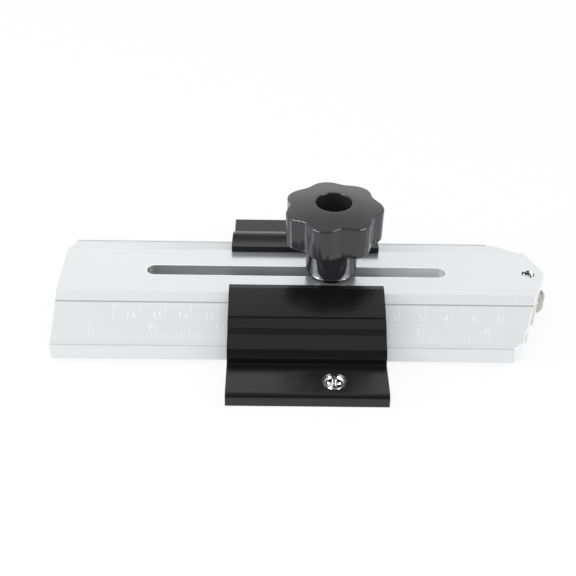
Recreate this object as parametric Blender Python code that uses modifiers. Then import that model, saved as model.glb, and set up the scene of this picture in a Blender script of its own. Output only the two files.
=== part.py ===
"""A thin rip jig: a clamping base, a sliding rule bar with a ball bearing at its nose, and a star knob.

The frame's origin is on the clamp's axis at the base's underside. +X runs along the bar to its nose,
+Z is up, and the side with the scales that the user reads is at -Y.
"""
import math

import bmesh
import bpy
from mathutils import Matrix

MM = 0.001
GAP = 0.3 * MM              # room left between two pieces that bear on each other
OVERCUT = 1.0 * MM          # how far a cutter stands out of what it cuts
MERGE_DISTANCE = 0.01 * MM  # points closer than this are one point

# Rule bar, an aluminium extrusion. Half widths are measured from the clamp's axis.
BAR_LEFT_REACH = 107.0 * MM
BAR_NOSE_REACH = 85.72 * MM      # to where the nose's two slopes would meet
BAR_HALF_WIDTH = 36.9 * MM
BAR_HEIGHT = 16.3 * MM
BAR_TOP_HALF_WIDTH = 15.2 * MM
BAR_CHAMFER_RUN = 3.5 * MM
BAR_CHAMFER_DROP = 2.2 * MM
SCALE_SLOPE = math.radians(22.8)
SCALE_RECESS = 0.3 * MM
SCALE_BORDER = 0.35 * MM
BAR_TOP_WALL = 4.5 * MM
BAR_ROOF_WALL = 3.4 * MM
BAR_SIDE_WALL = 3.4 * MM
BAR_INNER_LEG = 3.2 * MM
BAR_MIDDLE_LEG = 2.4 * MM
BAR_EDGE_RADIUS = 0.5 * MM
BAR_INNER_RADIUS = 1.0 * MM
SLOT_LEFT_TRAVEL = 42.6 * MM     # how far the bar can slide towards -X
SLOT_RIGHT_TRAVEL = 69.9 * MM    # how far the bar can slide towards +X
NOSE_SLOPE = math.radians(21.5)
NOSE_CORNER_RUN = 4.1 * MM
NOSE_CORNER_DEPTH = 2.7 * MM
NOSE_CORNER_RADIUS = 0.6 * MM
NOSE_TIP_HALF_WIDTH = 1.7 * MM   # the nose ends in a small flat

# Base, an anodised aluminium extrusion that is symmetrical front to back.
BASE_LEFT_REACH = 40.0 * MM
BASE_RIGHT_REACH = 20.0 * MM
FOOT_HALF_DEPTH = 61.6 * MM
FOOT_THICKNESS = 5.2 * MM
FOOT_EDGE_RADIUS = 1.9 * MM
FLOOR_THICKNESS = 1.4 * MM
JAW_WALL = 6.2 * MM
JAW_LIP_HALF_WIDTH = 13.4 * MM
JAW_LIP_HEIGHT = 2.7 * MM        # top of the lip's inner edge over the bar's top
JAW_CREST_HEIGHT = 2.75 * MM     # highest line of the jaw over the bar's top
JAW_CREST_RUN = 2.45 * MM        # from the lip's inner edge to the highest line
JAW_GROOVE_WIDTH = 0.7 * MM
JAW_GROOVE_DEPTH = 0.45 * MM
JAW_BREAK_INSET = 18.1 * MM      # this and the next insets are from the jaw's outer wall
JAW_GROOVE_INSET = 13.85 * MM
JAW_STEP_TOP_INSET = 9.3 * MM
JAW_STEP_FOOT_INSET = 7.5 * MM
JAW_SHOULDER_INSET = 1.9 * MM
JAW_BREAK_COVER = 5.72 * MM      # thickness over the slope of the scale, at the break
JAW_GROOVE_COVER = 6.03 * MM
JAW_STEP_TOP_COVER = 5.67 * MM
JAW_STEP_FOOT_COVER = 4.73 * MM
JAW_SHOULDER_RISE = 2.55 * MM    # over the bar's lower edge of the slope
JAW_WALL_RISE = 1.55 * MM
JAW_FILLET = 0.4 * MM
JAW_LIP_RADIUS = 0.25 * MM
JAW_CREST_RADIUS = 0.4 * MM
JAW_BREAK_RADIUS = 0.2 * MM
JAW_STEP_TOP_RADIUS = 0.4 * MM
JAW_STEP_FOOT_RADIUS = 0.6 * MM
JAW_SHOULDER_RADIUS = 0.8 * MM
FOOT_LOWER_RADIUS = 0.3 * MM
RIB_HEIGHT = 10.6 * MM
RIB_EDGE_RADIUS = 0.8 * MM

# Clamp: a stud in the base, a washer, and a star knob with a threaded insert.
STUD_RADIUS = 3.0 * MM
STUD_TIP_CHAMFER = 0.6 * MM
STUD_SEAT_FLOOR = 2.0 * MM
STUD_REACH_ABOVE_BAR = 10.5 * MM
WASHER_RADIUS = 9.05 * MM
WASHER_THICKNESS = 1.6 * MM
WASHER_EDGE = 0.45 * MM
HUB_RADIUS = 10.1 * MM
HUB_HEIGHT = 14.6 * MM
HUB_EDGE_RADIUS = 0.8 * MM
HUB_FLARE = 0.25 * MM            # how much the hub widens towards the head
HEAD_TIP_RADIUS = 19.5 * MM
HEAD_VALLEY_RADIUS = 17.0 * MM
HEAD_HEIGHT = 13.4 * MM
HEAD_DOME = 1.9 * MM             # rise of the top face from its edge to the hole
HEAD_TOP_RADIUS = 1.2 * MM
HEAD_BOTTOM_RADIUS = 0.9 * MM
HEAD_DRAFT = 0.25 * MM
HEAD_SADDLE_SHARE = 0.6          # where the top face turns from round to wavy
HEAD_SADDLE_RISE = 0.45          # share of the dome that is left there
LOBE_COUNT = 7
LOBE_TURN = math.radians(-3.0)
LOBE_FULLNESS = 0.8              # below 1 the lobes are broader than the valleys
KNOB_HOLE_RADIUS = 7.0 * MM
KNOB_HOLE_CHAMFER = 0.4 * MM
INSERT_RADIUS = 4.5 * MM
INSERT_LENGTH = 10.0 * MM
INSERT_FLANGE_RADIUS = 6.2 * MM
INSERT_FLANGE_THICKNESS = 1.5 * MM

# Runner screws: countersunk, sunk below the foot's face, flush with the underside.
SCREW_INSET = 8.4 * MM           # from the foot's outer edge
SCREW_HEAD_RADIUS = 3.45 * MM
SCREW_SHANK_RADIUS = 2.0 * MM
SCREW_HEAD_RIM = 0.25 * MM
SCREW_HEAD_RIM_DROP = 0.1 * MM
SCREW_TIP_CHAMFER = 0.3 * MM
COUNTERSINK_RADIUS = 4.75 * MM
CROSS_SPAN = 3.8 * MM
CROSS_WIDTH = 0.85 * MM
CROSS_DEPTH = 1.1 * MM

# Nose bearing, a 16 x 5 x 5 ball bearing on a screw from below.
BEARING_INSET = 6.77 * MM        # axis, from where the nose's slopes would meet
BEARING_RADIUS = 8.0 * MM
BEARING_BORE_RADIUS = 2.5 * MM
BEARING_WIDTH = 5.0 * MM
BEARING_ROOM = 1.2 * MM          # between the bearing and the channel's walls
BEARING_SCREW_HEAD = 1.6 * MM
BEARING_SCREW_HEAD_RADIUS = 4.2 * MM
BEARING_SCREW_TOP_DEPTH = 1.2 * MM
BEARING_SCREW_TIP_CHAMFER = 0.4 * MM
BEARING_SCREW_HEAD_CHAMFER = 0.3 * MM
HEX_RECESS_RADIUS = 1.75 * MM
HEX_RECESS_DEPTH = 0.9 * MM
SPACER_WALL = 1.4 * MM
BALL_COUNT = 7
BALL_RADIUS = 1.1 * MM
BALL_PITCH_RADIUS = 5.25 * MM
OUTER_SHOULDER_RADIUS = 6.2 * MM
INNER_SHOULDER_RADIUS = 4.3 * MM
SHIELD_THICKNESS = 0.3 * MM
SHIELD_SINK = 0.1 * MM
SHIELD_SEAT_RADIUS = 6.9 * MM
RING_CHAMFER = 0.3 * MM
CAGE_THICKNESS = 0.6 * MM
CAGE_RISE = 0.7 * MM             # over the balls' middle
CAGE_DROP = 1.75 * MM            # under the balls' middle

# Fineness of the round forms
ARC_STEPS = 4
TURN_STEPS = 36
RING_STEPS = 32
LOBE_STEPS = 12
SLOT_STEPS = 24

# Levels and places that follow from the sizes above
BAR_BOTTOM = FLOOR_THICKNESS + GAP
BAR_TOP = BAR_BOTTOM + BAR_HEIGHT
CHANNEL_HALF_WIDTH = BEARING_RADIUS + BEARING_ROOM
SLOT_RADIUS = STUD_RADIUS + GAP
JAW_INNER = BAR_HALF_WIDTH + GAP
JAW_OUTER = JAW_INNER + JAW_WALL
BEARING_X = BAR_NOSE_REACH - BEARING_INSET
BEARING_BOTTOM = BAR_BOTTOM + BEARING_SCREW_HEAD + GAP
BEARING_MIDDLE = BEARING_BOTTOM + BEARING_WIDTH / 2
SCREW_Y = FOOT_HALF_DEPTH - SCREW_INSET
HUB_BOTTOM = BAR_TOP + GAP + WASHER_THICKNESS + GAP
HEAD_BOTTOM = HUB_BOTTOM + HUB_HEIGHT
HEAD_EDGE_TOP = HEAD_BOTTOM + HEAD_HEIGHT
INSERT_SHOULDER = HUB_BOTTOM + INSERT_LENGTH


def clear_scene():
    for old in list(bpy.data.objects):
        bpy.data.objects.remove(old, do_unlink=True)


def make_collection(name):
    collection = bpy.data.collections.new(name)
    bpy.context.scene.collection.children.link(collection)
    return collection


def make_material(name, colour, roughness, metallic):
    material = bpy.data.materials.new(name)
    material.use_nodes = True
    shader = material.node_tree.nodes["Principled BSDF"]
    shader.inputs["Base Color"].default_value = (*colour, 1.0)
    shader.inputs["Roughness"].default_value = roughness
    shader.inputs["Metallic"].default_value = metallic
    material.diffuse_color = (*colour, 1.0)
    return material


def add_mesh(name, mesh, collection, material=None, location=(0, 0, 0)):
    thing = bpy.data.objects.new(name, mesh)
    collection.objects.link(thing)
    thing.location = location
    if material:
        mesh.materials.append(material)
    return thing


def shade(thing, angle=30.0):
    """Smooth round faces and keep the edges sharper than the angle."""
    thing.data.shade_smooth()
    thing.data.set_sharp_from_angle(angle=math.radians(angle))


def hide_cutter(cutter):
    cutter.hide_render = True
    cutter.display_type = "WIRE"


def cut(thing, cutter):
    hide_cutter(cutter)
    boolean = thing.modifiers.new("Cut " + cutter.name, "BOOLEAN")
    boolean.operation = "DIFFERENCE"
    boolean.solver = "EXACT"
    boolean.object = cutter


def rounded(corners):
    """Turn (x, y, radius) corners into an outline whose corners are arcs."""
    points = []
    count = len(corners)
    for index, (x, y, radius) in enumerate(corners):
        if radius <= 0:
            points.append((x, y))
            continue
        before = corners[index - 1]
        after = corners[(index + 1) % count]
        ax, ay = before[0] - x, before[1] - y
        bx, by = after[0] - x, after[1] - y
        a_length, b_length = math.hypot(ax, ay), math.hypot(bx, by)
        ax, ay, bx, by = ax / a_length, ay / a_length, bx / b_length, by / b_length
        half = math.acos(max(-1.0, min(1.0, ax * bx + ay * by))) / 2
        reach = min(radius / math.tan(half), 0.45 * a_length, 0.45 * b_length)
        radius = reach * math.tan(half)
        mid_x, mid_y = ax + bx, ay + by
        mid_length = math.hypot(mid_x, mid_y)
        centre_distance = radius / math.sin(half)
        cx = x + mid_x / mid_length * centre_distance
        cy = y + mid_y / mid_length * centre_distance
        start = math.atan2(y + ay * reach - cy, x + ax * reach - cx)
        end = math.atan2(y + by * reach - cy, x + bx * reach - cx)
        sweep = (end - start + math.pi) % (2 * math.pi) - math.pi
        for step in range(ARC_STEPS + 1):
            angle = start + sweep * step / ARC_STEPS
            points.append((cx + radius * math.cos(angle), cy + radius * math.sin(angle)))
    return points


def flat_curve(name, outline, thickness):
    """A filled 2D curve of the outline, as thick as asked, centred on its plane."""
    curve = bpy.data.curves.new(name, "CURVE")
    curve.dimensions = "2D"
    curve.fill_mode = "BOTH"
    curve.extrude = thickness / 2
    spline = curve.splines.new("POLY")
    spline.points.add(len(outline) - 1)
    for point, (x, y) in zip(spline.points, outline):
        point.co = (x, y, 0, 1)
    spline.use_cyclic_u = True
    return bpy.data.objects.new(name, curve)


def curve_to_mesh(name, curve_object, collection, material=None):
    """Make a mesh object of a curve object, with its caps welded and its place kept."""
    bpy.context.scene.collection.objects.link(curve_object)
    bpy.context.view_layer.update()
    graph = bpy.context.evaluated_depsgraph_get()
    mesh = bpy.data.meshes.new_from_object(curve_object.evaluated_get(graph))
    mesh.transform(curve_object.matrix_world)
    bpy.data.objects.remove(curve_object, do_unlink=True)
    shape = bmesh.new()
    shape.from_mesh(mesh)
    bmesh.ops.remove_doubles(shape, verts=shape.verts, dist=MERGE_DISTANCE)
    bmesh.ops.recalc_face_normals(shape, faces=shape.faces)
    shape.to_mesh(mesh)
    shape.free()
    mesh.materials.clear()
    mesh.name = name
    return add_mesh(name, mesh, collection, material)


def extrude_along_x(name, section, low, high, collection, material=None):
    """Carry a section, given as (y, z) points, along X from low to high."""
    curve_object = flat_curve(name + "_section", section, high - low)
    curve_object.rotation_euler = (math.radians(90), 0, math.radians(90))
    curve_object.location = ((low + high) / 2, 0, 0)
    return curve_to_mesh(name, curve_object, collection, material)


def extrude_up(name, outline, low, high, collection, material=None):
    """Carry an outline, given as (x, y) points, up from low to high."""
    curve_object = flat_curve(name + "_outline", outline, high - low)
    curve_object.location = (0, 0, (low + high) / 2)
    return curve_to_mesh(name, curve_object, collection, material)


def turned(name, profile, closed, collection, material=None, location=(0, 0, 0), steps=TURN_STEPS):
    """Turn (radius, height) points about Z. The outer side of the profile runs downwards."""
    mesh = bpy.data.meshes.new(name)
    vertices = [(radius, 0, height) for radius, height in profile]
    edges = [(index, index + 1) for index in range(len(profile) - 1)]
    if closed:
        edges.append((len(profile) - 1, 0))
    mesh.from_pydata(vertices, edges, [])
    thing = add_mesh(name, mesh, collection, material, location)
    screw = thing.modifiers.new("Turn", "SCREW")
    screw.axis = "Z"
    screw.angle = 2 * math.pi
    screw.steps = steps
    screw.render_steps = steps
    screw.use_merge_vertices = True
    screw.merge_threshold = MERGE_DISTANCE
    screw.use_smooth_shade = True
    return thing


def cylinder(name, radius, low, high, collection, sides=24, location=(0, 0), turn=None):
    mesh = bpy.data.meshes.new(name)
    shape = bmesh.new()
    bmesh.ops.create_cone(shape, cap_ends=True, segments=sides, radius1=radius, radius2=radius,
                          depth=high - low)
    if turn is not None:
        bmesh.ops.transform(shape, matrix=turn, verts=shape.verts)
    shape.to_mesh(mesh)
    shape.free()
    return add_mesh(name, mesh, collection, None, (location[0], location[1], (low + high) / 2))


def scale_height(y):
    """Height, under the bar's top, of the sloping face at a distance from the clamp's axis."""
    return -BAR_CHAMFER_DROP - (y - BAR_TOP_HALF_WIDTH - BAR_CHAMFER_RUN) * math.tan(SCALE_SLOPE)


def mirrored(half):
    """Complete an outline from its +Y half, which runs from the plane of symmetry and back to it."""
    return half + [(-y, z, radius) for y, z, radius in reversed(half)]


def bar_section():
    slope_top = BAR_TOP_HALF_WIDTH + BAR_CHAMFER_RUN
    slope_end = BAR_HALF_WIDTH - SCALE_BORDER
    roof = -BAR_ROOF_WALL / math.cos(SCALE_SLOPE)
    leg_outer = CHANNEL_HALF_WIDTH + BAR_INNER_LEG
    wall_inner = BAR_HALF_WIDTH - BAR_SIDE_WALL
    middle = (leg_outer + wall_inner) / 2
    middle_inner, middle_outer = middle - BAR_MIDDLE_LEG / 2, middle + BAR_MIDDLE_LEG / 2
    bottom = -BAR_HEIGHT
    edge, inner = BAR_EDGE_RADIUS, BAR_INNER_RADIUS

    def roof_height(y):
        return min(-BAR_ROOF_WALL, scale_height(y) - SCALE_RECESS + roof)

    half = [
        (CHANNEL_HALF_WIDTH, -BAR_TOP_WALL, inner),
        (CHANNEL_HALF_WIDTH, bottom, edge / 2),
        (leg_outer, bottom, edge / 2),
        (leg_outer, roof_height(leg_outer), inner),
        (middle_inner, roof_height(middle_inner), inner),
        (middle_inner, bottom, edge / 2),
        (middle_outer, bottom, edge / 2),
        (middle_outer, roof_height(middle_outer), inner),
        (wall_inner, roof_height(wall_inner), inner),
        (wall_inner, bottom, edge / 2),
        (BAR_HALF_WIDTH, bottom, edge),
        (BAR_HALF_WIDTH, scale_height(BAR_HALF_WIDTH), edge),
        (slope_end, scale_height(slope_end), 0),
        (slope_end, scale_height(slope_end) - SCALE_RECESS, 0),
        (slope_top + SCALE_RECESS, scale_height(slope_top) - SCALE_RECESS, 0),
        (slope_top, scale_height(slope_top), 0),
        (BAR_TOP_HALF_WIDTH, 0, edge),
    ]
    return [(y, BAR_TOP + z) for y, z in rounded(mirrored(half))]


def bar_plan():
    """The bar seen from above: square at the left, and a blunt arrow head at the nose."""
    corner_y = BAR_HALF_WIDTH - NOSE_CORNER_DEPTH
    corner_x = BAR_NOSE_REACH - corner_y * math.tan(NOSE_SLOPE)
    side_x = corner_x - NOSE_CORNER_RUN
    outer = BAR_HALF_WIDTH + OVERCUT
    slant = NOSE_CORNER_RUN / NOSE_CORNER_DEPTH
    half = [
        (BAR_NOSE_REACH - NOSE_TIP_HALF_WIDTH * math.tan(NOSE_SLOPE), NOSE_TIP_HALF_WIDTH, 0),
        (corner_x, corner_y, NOSE_CORNER_RADIUS),
        (side_x - OVERCUT * slant, outer, 0),
    ]
    far = BAR_NOSE_REACH + BEARING_RADIUS
    cutter = half + [(far, outer, 0), (far, -outer, 0)] + [(x, -y, r) for x, y, r in reversed(half)]
    return rounded(cutter)


def slot_outline():
    """A slot with round ends, as long as the bar's travel asks."""
    points = []
    ends = ((SLOT_LEFT_TRAVEL, -90.0), (-SLOT_RIGHT_TRAVEL, 90.0))
    for centre, first in ends:
        for step in range(SLOT_STEPS // 2 + 1):
            angle = math.radians(first + 180.0 * step / (SLOT_STEPS // 2))
            points.append((centre + SLOT_RADIUS * math.cos(angle), SLOT_RADIUS * math.sin(angle)))
    return points


def build_rule_bar(parts, cutters, material):
    bar = extrude_along_x("rule_bar", bar_section(), -BAR_LEFT_REACH, BAR_NOSE_REACH + OVERCUT, parts,
                          material)
    nose = extrude_up("nose_cutter", bar_plan(), BAR_BOTTOM - OVERCUT, BAR_TOP + OVERCUT, cutters)
    slot = extrude_up("slot_cutter", slot_outline(), BAR_TOP - BAR_TOP_WALL - OVERCUT,
                      BAR_TOP + OVERCUT, cutters)
    hole = cylinder("nose_hole_cutter", BEARING_BORE_RADIUS, BAR_TOP - BAR_TOP_WALL - OVERCUT,
                    BAR_TOP + OVERCUT, cutters, location=(BEARING_X, 0))
    for cutter in (nose, slot, hole):
        cut(bar, cutter)
    shade(bar)
    return bar


def base_section():
    lip = JAW_LIP_HALF_WIDTH
    wall = JAW_OUTER
    slope_top = BAR_TOP_HALF_WIDTH + BAR_CHAMFER_RUN
    normal_gap = GAP / math.cos(SCALE_SLOPE)
    chamfer_angle = math.atan2(BAR_CHAMFER_DROP, BAR_CHAMFER_RUN)
    break_start = wall - JAW_BREAK_INSET
    groove_start = wall - JAW_GROOVE_INSET
    groove_end = groove_start + JAW_GROOVE_WIDTH
    step_top = wall - JAW_STEP_TOP_INSET
    step_foot = wall - JAW_STEP_FOOT_INSET

    def over_scale(y, cover):
        return BAR_TOP + scale_height(y) + cover

    groove_top = over_scale(groove_start, JAW_GROOVE_COVER)
    groove_back = over_scale(groove_end, JAW_GROOVE_COVER)
    low_slope = BAR_TOP + scale_height(BAR_HALF_WIDTH)
    rib = CHANNEL_HALF_WIDTH - GAP
    half = [
        (rib, RIB_HEIGHT, RIB_EDGE_RADIUS),
        (rib, FLOOR_THICKNESS, 0),
        (JAW_INNER, FLOOR_THICKNESS, 0),
        (JAW_INNER, low_slope + normal_gap, 0),
        (slope_top, BAR_TOP + scale_height(slope_top) + normal_gap, 0),
        (BAR_TOP_HALF_WIDTH + GAP * math.tan(chamfer_angle / 2), BAR_TOP + GAP, 0),
        (lip, BAR_TOP + GAP, 0),
        (lip, BAR_TOP + JAW_LIP_HEIGHT, JAW_LIP_RADIUS),
        (lip + JAW_CREST_RUN, BAR_TOP + JAW_CREST_HEIGHT, JAW_CREST_RADIUS),
        (break_start, over_scale(break_start, JAW_BREAK_COVER), JAW_BREAK_RADIUS),
        (groove_start, groove_top, 0),
        (groove_start + JAW_GROOVE_WIDTH / 3, groove_top - JAW_GROOVE_DEPTH, 0),
        (groove_end - JAW_GROOVE_WIDTH / 3, groove_back - JAW_GROOVE_DEPTH, 0),
        (groove_end, groove_back, 0),
        (step_top, over_scale(step_top, JAW_STEP_TOP_COVER), JAW_STEP_TOP_RADIUS),
        (step_foot, over_scale(step_foot, JAW_STEP_FOOT_COVER), JAW_STEP_FOOT_RADIUS),
        (wall - JAW_SHOULDER_INSET, low_slope + JAW_SHOULDER_RISE, JAW_SHOULDER_RADIUS),
        (wall, low_slope + JAW_WALL_RISE, JAW_SHOULDER_RADIUS),
        (wall, FOOT_THICKNESS, JAW_FILLET),
        (FOOT_HALF_DEPTH, FOOT_THICKNESS, FOOT_EDGE_RADIUS),
        (FOOT_HALF_DEPTH, 0, FOOT_LOWER_RADIUS),
    ]
    return rounded(mirrored(half))


def build_base(parts, cutters, material):
    base = extrude_along_x("base", base_section(), -BASE_LEFT_REACH, BASE_RIGHT_REACH, parts, material)
    stud_hole = cylinder("stud_hole_cutter", STUD_RADIUS + GAP, STUD_SEAT_FLOOR, RIB_HEIGHT + OVERCUT,
                         cutters)
    cut(base, stud_hole)
    hole_radius = SCREW_SHANK_RADIUS + GAP
    cone_depth = COUNTERSINK_RADIUS - hole_radius
    profile = [
        (0, FOOT_THICKNESS + OVERCUT),
        (COUNTERSINK_RADIUS + OVERCUT, FOOT_THICKNESS + OVERCUT),
        (hole_radius, FOOT_THICKNESS - cone_depth),
        (hole_radius, -OVERCUT),
        (0, -OVERCUT),
    ]
    for side, place in (("front", -SCREW_Y), ("rear", SCREW_Y)):
        cut(base, turned("countersink_cutter_" + side, profile, False, cutters, None, (0, place, 0)))
    shade(base)
    return base


def cross_cutter(name, top, place, cutters):
    """Two crossed bars for a screw's cross recess, joined into one body."""
    mesh = bpy.data.meshes.new(name)
    shape = bmesh.new()
    bmesh.ops.create_cube(shape, size=1.0)
    size = Matrix.Diagonal((CROSS_SPAN, CROSS_WIDTH, 2 * CROSS_DEPTH, 1))
    bmesh.ops.transform(shape, matrix=size, verts=shape.verts)
    shape.to_mesh(mesh)
    shape.free()
    first = add_mesh(name, mesh, cutters, None, (0, place, top))
    second = add_mesh(name + "_arm", mesh.copy(), cutters, None, (0, place, top))
    second.rotation_euler = (0, 0, math.radians(90))
    hide_cutter(second)
    union = first.modifiers.new("Join arm", "BOOLEAN")
    union.operation = "UNION"
    union.solver = "EXACT"
    union.object = second
    return first


def build_runner_screws(parts, cutters, material):
    lean = GAP * math.sqrt(2)
    head_top = FOOT_THICKNESS - (COUNTERSINK_RADIUS - lean - SCREW_HEAD_RADIUS)
    head_foot = head_top - (SCREW_HEAD_RADIUS - SCREW_SHANK_RADIUS)
    profile = [
        (0, head_top),
        (SCREW_HEAD_RADIUS - SCREW_HEAD_RIM, head_top),
        (SCREW_HEAD_RADIUS, head_top - SCREW_HEAD_RIM_DROP),
        (SCREW_SHANK_RADIUS, head_foot),
        (SCREW_SHANK_RADIUS, SCREW_TIP_CHAMFER),
        (SCREW_SHANK_RADIUS - SCREW_TIP_CHAMFER, 0),
        (0, 0),
    ]
    for side, place in (("front", -SCREW_Y), ("rear", SCREW_Y)):
        screw = turned(side + "_screw", profile, False, parts, material, (0, place, 0), 24)
        cut(screw, cross_cutter("cross_cutter_" + side, head_top, place, cutters))


def build_clamp(parts, materials):
    bottom = STUD_SEAT_FLOOR + GAP
    top = BAR_TOP + STUD_REACH_ABOVE_BAR
    tip = STUD_RADIUS - STUD_TIP_CHAMFER
    stud = [(0, top), (tip, top), (STUD_RADIUS, top - STUD_TIP_CHAMFER),
            (STUD_RADIUS, bottom + STUD_TIP_CHAMFER), (tip, bottom), (0, bottom)]
    turned("clamp_stud", stud, False, parts, materials["steel"], steps=24)

    low, high = BAR_TOP + GAP, BAR_TOP + GAP + WASHER_THICKNESS
    inner = STUD_RADIUS + GAP
    washer = [(inner, high), (WASHER_RADIUS - WASHER_EDGE, high), (WASHER_RADIUS, high - WASHER_EDGE),
              (WASHER_RADIUS, low + WASHER_EDGE), (WASHER_RADIUS - WASHER_EDGE, low), (inner, low)]
    turned("clamp_washer", washer, True, parts, materials["washer_steel"])

    flange_low = INSERT_SHOULDER + GAP
    flange_high = flange_low + INSERT_FLANGE_THICKNESS
    insert = [(inner, flange_high), (INSERT_FLANGE_RADIUS, flange_high), (INSERT_FLANGE_RADIUS, flange_low),
              (INSERT_RADIUS, flange_low), (INSERT_RADIUS, HUB_BOTTOM + GAP), (inner, HUB_BOTTOM + GAP)]
    turned("knob_insert", insert, True, parts, materials["brass"], steps=24)


def lobe(angle):
    """Radius of the knob's wavy outline: a raised cosine, broadened at the lobes."""
    wave = 0.5 * (1 + math.cos(LOBE_COUNT * (angle - LOBE_TURN)))
    return HEAD_VALLEY_RADIUS + (HEAD_TIP_RADIUS - HEAD_VALLEY_RADIUS) * wave ** LOBE_FULLNESS


def knob_rings():
    """The knob's sections from the hole, over the head and down the hub, and back up the bore.

    Each is (share, inset or radius, height): a share of 1 is the wavy outline less an inset, a share
    of 0 is a circle of the radius, and a share between them blends the two.
    """
    rings = [
        (0.0, KNOB_HOLE_RADIUS, INSERT_SHOULDER),
        (0.0, KNOB_HOLE_RADIUS, HEAD_EDGE_TOP + HEAD_DOME - KNOB_HOLE_CHAMFER),
        (0.0, KNOB_HOLE_RADIUS + KNOB_HOLE_CHAMFER, HEAD_EDGE_TOP + HEAD_DOME),
        (HEAD_SADDLE_SHARE, HEAD_TOP_RADIUS, HEAD_EDGE_TOP + HEAD_SADDLE_RISE * HEAD_DOME),
    ]
    for step in range(ARC_STEPS + 1):
        angle = math.radians(90) * step / ARC_STEPS
        rings.append((1.0, HEAD_TOP_RADIUS * (1 - math.sin(angle)),
                      HEAD_EDGE_TOP - HEAD_TOP_RADIUS * (1 - math.cos(angle))))
    for step in range(ARC_STEPS):
        angle = math.radians(90) * step / (ARC_STEPS - 1)
        rings.append((1.0, HEAD_DRAFT + HEAD_BOTTOM_RADIUS * (1 - math.cos(angle)),
                      HEAD_BOTTOM + HEAD_BOTTOM_RADIUS * (1 - math.sin(angle))))
    neck = HUB_RADIUS + HUB_FLARE
    rings.append((0.0, neck + HUB_EDGE_RADIUS, HEAD_BOTTOM))
    rings.append((0.0, neck, HEAD_BOTTOM - HUB_EDGE_RADIUS))
    for step in range(ARC_STEPS):
        angle = math.radians(90) * step / (ARC_STEPS - 1)
        rings.append((0.0, HUB_RADIUS - HUB_EDGE_RADIUS * (1 - math.cos(angle)),
                      HUB_BOTTOM + HUB_EDGE_RADIUS * (1 - math.sin(angle))))
    bore = INSERT_RADIUS + GAP
    rings.append((0.0, bore, HUB_BOTTOM))
    rings.append((0.0, bore, INSERT_SHOULDER))
    return rings


def build_knob(parts, material):
    """Loft the knob between its round and wavy sections, in one closed surface around its bore."""
    count = LOBE_COUNT * LOBE_STEPS
    shape = bmesh.new()
    loops = []
    for share, size, height in knob_rings():
        loop = []
        for index in range(count):
            angle = 2 * math.pi * index / count
            if share == 0:
                radius = size
            else:
                round_radius = KNOB_HOLE_RADIUS + KNOB_HOLE_CHAMFER
                radius = share * (lobe(angle) - size) + (1 - share) * round_radius
            loop.append(shape.verts.new((radius * math.cos(angle), radius * math.sin(angle), height)))
        loops.append(loop)
    for number, loop in enumerate(loops):
        following = loops[(number + 1) % len(loops)]
        for index in range(count):
            other = (index + 1) % count
            shape.faces.new((loop[index], following[index], following[other], loop[other]))
    bmesh.ops.recalc_face_normals(shape, faces=shape.faces)
    mesh = bpy.data.meshes.new("star_knob")
    shape.to_mesh(mesh)
    shape.free()
    knob = add_mesh("star_knob", mesh, parts, material)
    shade(knob, 40.0)
    return knob


def race(ring_radius, outward):
    """Points of a ball groove in a ring's shoulder, from the top down."""
    groove = BALL_RADIUS + GAP
    half = math.acos(min(1.0, abs(ring_radius - BALL_PITCH_RADIUS) / groove))
    points = []
    for step in range(ARC_STEPS + 1):
        angle = half * (1 - 2 * step / ARC_STEPS)
        across = groove * math.cos(angle)
        radius = BALL_PITCH_RADIUS + across if outward else BALL_PITCH_RADIUS - across
        points.append((radius, groove * math.sin(angle)))
    return points


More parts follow.
